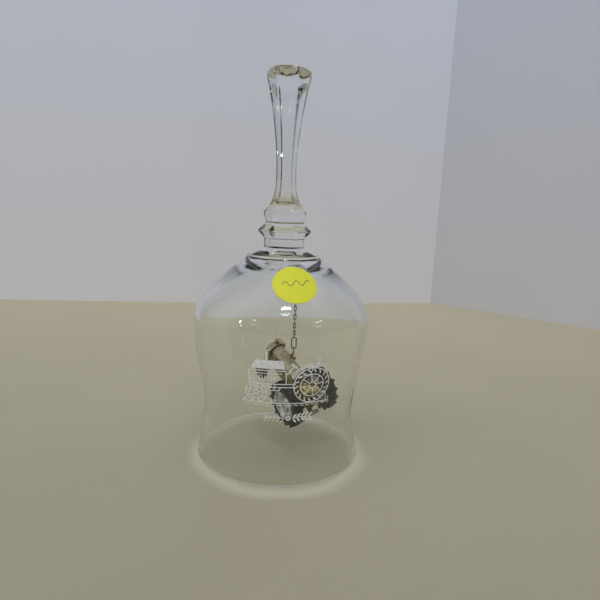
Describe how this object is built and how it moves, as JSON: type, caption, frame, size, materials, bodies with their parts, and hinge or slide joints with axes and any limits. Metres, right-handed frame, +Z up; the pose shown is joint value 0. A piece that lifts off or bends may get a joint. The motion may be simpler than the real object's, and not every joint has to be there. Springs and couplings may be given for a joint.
{
  "type": "glass bell",
  "caption": "Clear glass table bell with a faceted, flared handle and a miniature farm tractor hung inside on a fine chain as its clapper.",
  "frame": {"origin": "on the table, in the centre of the lip", "axes": "+Z up along the handle, +Y away from the side that carries the sticker and the print, +X to the right of it"},
  "size_m": [0.0798, 0.0798, 0.1751],
  "materials": {
    "clear_glass": "clear, fire polished",
    "yellow_paper": "matt fluorescent paper",
    "chain_steel": "plated wire, slightly dulled",
    "antique_brass": "cast, antique gold with dark recesses",
    "silver_disc": "bright pressed metal",
    "black_rubber": "moulded, satin",
    "white_enamel": "fired white screen print, in the visual model only"
  },
  "bodies": {
    "bell": {"bell_bowl": "clear_glass", "bell_handle": "clear_glass", "price_sticker": "yellow_paper", "hanger_pad": "chain_steel", "hanger_eye": "chain_steel"},
    "chain_top_part": {"chain_upper": "chain_steel"},
    "chain_mid_part": {"chain_middle": "chain_steel"},
    "chain_low_part": {"chain_lower": "chain_steel"},
    "end_link": {"long_link": "chain_steel"},
    "tractor": {"pendant_eye": "antique_brass", "transmission": "antique_brass", "engine_block": "antique_brass", "hood": "antique_brass", "cowl": "antique_brass", "radiator_shell": "antique_brass", "radiator_cap": "antique_brass", "steering_column": "chain_steel", "steering_wheel": "black_rubber", "seat_post": "chain_steel", "seat": "antique_brass", "drawbar": "chain_steel", "front_pedestal": "antique_brass", "front_axle": "antique_brass"},
    "rear_wheels": {"rear_axle": "chain_steel", "rear_disc_left": "silver_disc", "rear_disc_right": "silver_disc", "rear_tyre_left": "black_rubber", "rear_tyre_right": "black_rubber"},
    "front_wheel_left": {"front_disc_left": "silver_disc", "front_tyre_left": "black_rubber"},
    "front_wheel_right": {"front_disc_right": "silver_disc", "front_tyre_right": "black_rubber"}
  },
  "joints": [
    {"name": "chain_swing_fore_aft", "type": "hinge", "parent": "bell", "child": "chain_top_part", "pos_m": [0.0062, 0, 0.08511], "axis": [1, 0, 0], "range_deg": [-10, 12]},
    {"name": "chain_swing_sideways", "type": "hinge", "parent": "chain_top_part", "child": "chain_mid_part", "pos_m": [0.0062, 0, 0.07487], "axis": [0, -1, 0], "range_deg": [-30, 5]},
    {"name": "chain_twist", "type": "hinge", "parent": "chain_mid_part", "child": "chain_low_part", "pos_m": [0.0062, 0, 0.06462], "axis": [0, 0, 1], "range_deg": [-20, 20]},
    {"name": "end_link_swing", "type": "hinge", "parent": "chain_low_part", "child": "end_link", "pos_m": [0.0062, 0, 0.05436], "axis": [0, 1, 0], "range_deg": [-10, 30]},
    {"name": "tractor_swing", "type": "hinge", "parent": "end_link", "child": "tractor", "pos_m": [0.0062, 0, 0.0494], "axis": [-1, 0, 0], "range_deg": [-30, 30]},
    {"name": "rear_wheels_roll", "type": "hinge", "parent": "tractor", "child": "rear_wheels", "pos_m": [0.01188, -0.00517, 0.02858], "axis": [-0.782, -0.587, -0.2095], "continuous": true},
    {"name": "front_wheel_left_roll", "type": "hinge", "parent": "tractor", "child": "front_wheel_left", "pos_m": [-0.00964, 0.01068, 0.03394], "axis": [-0.782, -0.587, -0.2095], "continuous": true},
    {"name": "front_wheel_right_roll", "type": "hinge", "parent": "tractor", "child": "front_wheel_right", "pos_m": [0.00037, 0.01819, 0.03662], "axis": [-0.782, -0.587, -0.2095], "continuous": true}
  ]
}
